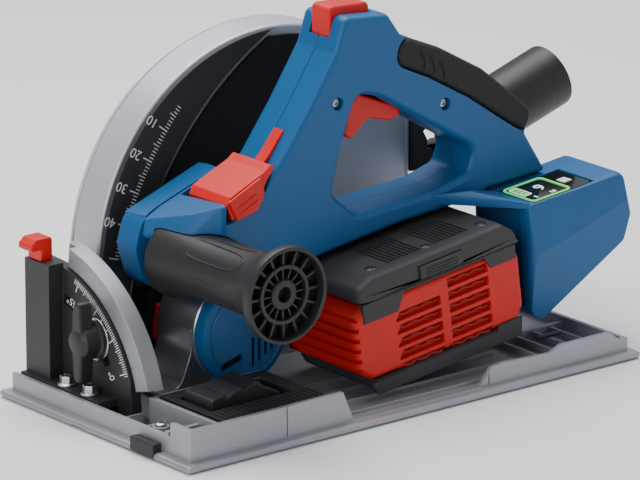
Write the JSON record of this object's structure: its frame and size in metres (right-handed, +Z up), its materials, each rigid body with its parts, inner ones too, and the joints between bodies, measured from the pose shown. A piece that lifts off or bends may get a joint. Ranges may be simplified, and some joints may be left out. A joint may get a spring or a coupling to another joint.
{
  "type": "track plunge saw",
  "caption": "Cordless track plunge saw: sliding base with bevel quadrants, round blade guard with depth scale, pivoting motor head with handles, slide-off battery and dust port.",
  "frame": {"origin": "middle of the base plate's sole, at the height of the work surface", "axes": "-X the cutting direction (front), -Y the motor and battery side, +Z up; the saw blade's plane is parallel to XZ"},
  "size_m": [0.3913, 0.182, 0.281],
  "materials": {
    "base_alloy": "satin",
    "guard_alloy": "satin",
    "black_casting": "satin",
    "trunnion_alloy": "satin",
    "gear_case_alloy": "matte",
    "blue_shell": "satin",
    "red_plastic": "satin",
    "battery_red": "matte",
    "battery_grey": "matte",
    "grip_rubber": "matte",
    "black_plastic": "satin",
    "scale_plastic": "matte",
    "duct_plastic": "satin",
    "strip_rubber": "matte",
    "display_glass": "gloss",
    "circuit_board": "satin",
    "winding_copper": "satin",
    "bright_steel": "satin",
    "blade_steel": "satin"
  },
  "bodies": {
    "base": {"base_plate": "base_alloy", "rail_grip_pad": "black_plastic", "splinter_guard": "strip_rubber", "front_insert": "black_plastic", "front_bevel_bracket": "black_casting", "rear_bevel_bracket": "black_casting", "bracket_bolt_a": "bright_steel", "bracket_bolt_b": "bright_steel"},
    "front_knob": {"front_bevel_knob": "black_plastic"},
    "rear_knob": {"rear_bevel_knob": "black_plastic"},
    "undercut_hook": {"undercut_button": "red_plastic"},
    "rail_lever": {"rail_clamp_lever": "black_plastic"},
    "rail_adjuster": {"rail_knob": "black_plastic"},
    "guard_unit": {"blade_guard": "guard_alloy", "guard_cover": "guard_alloy", "recess_liner": "scale_plastic", "depth_scale_plate": "scale_plastic", "plunge_pin": "bright_steel", "front_trunnion": "trunnion_alloy", "rear_trunnion": "trunnion_alloy", "dust_duct": "duct_plastic"},
    "hose_port": {"dust_port": "black_plastic"},
    "stop_slider": {"depth_stop": "black_plastic"},
    "stop_release": {"depth_stop_button": "red_plastic"},
    "head": {"gear_case": "gear_case_alloy", "motor_housing": "blue_shell", "stator": "winding_copper", "motor_bearing": "bright_steel", "rear_bearing": "bright_steel", "arbor_bearing": "bright_steel", "handle_shell_near": "blue_shell", "handle_shell_far": "blue_shell", "grip_sleeve": "grip_rubber", "trigger_switch": "black_plastic", "rear_housing": "blue_shell", "display_panel": "display_glass", "control_board": "circuit_board", "battery_foot": "black_plastic", "contact_a": "bright_steel", "contact_b": "bright_steel", "aux_handle": "black_plastic"},
    "lock_off": {"lock_off_button": "red_plastic"},
    "trigger_body": {"trigger": "red_plastic"},
    "blade_lever": {"blade_change_lever": "red_plastic"},
    "mode_key_body": {"mode_key": "black_plastic"},
    "battery": {"battery_top_shell": "battery_grey", "battery_core": "battery_red", "battery_bottom_shell": "battery_grey"},
    "pack_latch": {"battery_latch": "red_plastic"},
    "spindle": {"arbor": "bright_steel", "inner_flange": "bright_steel", "saw_blade": "blade_steel", "outer_flange": "bright_steel", "arbor_bolt": "bright_steel", "arbor_gear": "bright_steel"},
    "idler": {"idler_gear": "bright_steel"},
    "motor_rotor": {"rotor": "bright_steel", "cooling_fan": "black_plastic"}
  },
  "joints": [
    {"name": "bevel_tilt", "type": "hinge", "parent": "base", "child": "guard_unit", "pos_m": [0, 0.073, 0], "axis": [-1, 0, 0], "range_deg": [0, 47]},
    {"name": "plunge", "type": "hinge", "parent": "guard_unit", "child": "head", "pos_m": [0.104, 0.05, 0.016], "axis": [0, 1, 0], "range_deg": [0, 31.5]},
    {"name": "blade_spin", "type": "hinge", "parent": "head", "child": "spindle", "pos_m": [0, 0.073, 0.018], "axis": [0, 1, 0], "continuous": true},
    {"name": "idler_spin", "type": "hinge", "parent": "head", "child": "idler", "pos_m": [-0.03221, 0.05, 0.03036], "axis": [0, 1, 0], "continuous": true},
    {"name": "rotor_spin", "type": "hinge", "parent": "head", "child": "motor_rotor", "pos_m": [-0.06162, 0.05, 0.04165], "axis": [0, 1, 0], "continuous": true},
    {"name": "depth_stop_slide", "type": "hinge", "parent": "guard_unit", "child": "stop_slider", "pos_m": [0.104, 0.05, 0.016], "axis": [0, 1, 0], "range_deg": [0, 28]},
    {"name": "depth_stop_release", "type": "slide", "parent": "stop_slider", "child": "stop_release", "axis": [0, 1, 0], "range_m": [0, 0.002], "stiffness_N_per_m": 300},
    {"name": "dust_port_turn", "type": "hinge", "parent": "guard_unit", "child": "hose_port", "pos_m": [0.15561, 0.045, 0.11947], "axis": [0.9511, 0, 0.309], "range_deg": [-90, 90]},
    {"name": "lock_off_press", "type": "slide", "parent": "head", "child": "lock_off", "axis": [0, 0, 1], "range_m": [-0.0035, 0], "stiffness_N_per_m": 500},
    {"name": "trigger_pull", "type": "hinge", "parent": "head", "child": "trigger_body", "pos_m": [0.044, -0.005, 0.163], "axis": [0, 1, 0], "range_deg": [0, 7], "stiffness_Nm_per_rad": 0.35},
    {"name": "blade_lever_lift", "type": "hinge", "parent": "head", "child": "blade_lever", "pos_m": [-0.06, -0.005, 0.144], "axis": [0, 1, 0], "range_deg": [0, 30]},
    {"name": "mode_key_press", "type": "slide", "parent": "head", "child": "mode_key_body", "axis": [0, 0, 1], "range_m": [-0.0005, 0], "stiffness_N_per_m": 400},
    {"name": "battery_release", "type": "slide", "parent": "head", "child": "battery", "axis": [0, 1, 0], "range_m": [-0.09, 0]},
    {"name": "battery_latch_press", "type": "slide", "parent": "battery", "child": "pack_latch", "axis": [0, 1, 0], "range_m": [0, 0.002], "stiffness_N_per_m": 400},
    {"name": "front_knob_turn", "type": "hinge", "parent": "base", "child": "front_knob", "pos_m": [-0.1473, 0.02633, 0.04667], "axis": [-1, 0, 0], "range_deg": [-20, 70]},
    {"name": "rear_knob_turn", "type": "hinge", "parent": "base", "child": "rear_knob", "pos_m": [0.1473, 0.04754, 0.02546], "axis": [1, 0, 0], "range_deg": [-20, 70]},
    {"name": "undercut_hook_lift", "type": "slide", "parent": "base", "child": "undercut_hook", "axis": [0, 0, 1], "range_m": [0, 0.004], "stiffness_N_per_m": 200},
    {"name": "rail_lever_lift", "type": "hinge", "parent": "base", "child": "rail_lever", "pos_m": [-0.0795, -0.046, 0.0145], "axis": [0, 1, 0], "range_deg": [0, 30]},
    {"name": "rail_adjuster_turn", "type": "hinge", "parent": "base", "child": "rail_adjuster", "pos_m": [0.121, -0.063, 0.008], "axis": [0, 0, 1], "continuous": true}
  ],
  "couplings": [
    {"joint": "idler_spin", "follows": "blade_spin", "ratio": -0.58621},
    {"joint": "rotor_spin", "follows": "blade_spin", "ratio": 1.3077}
  ]
}
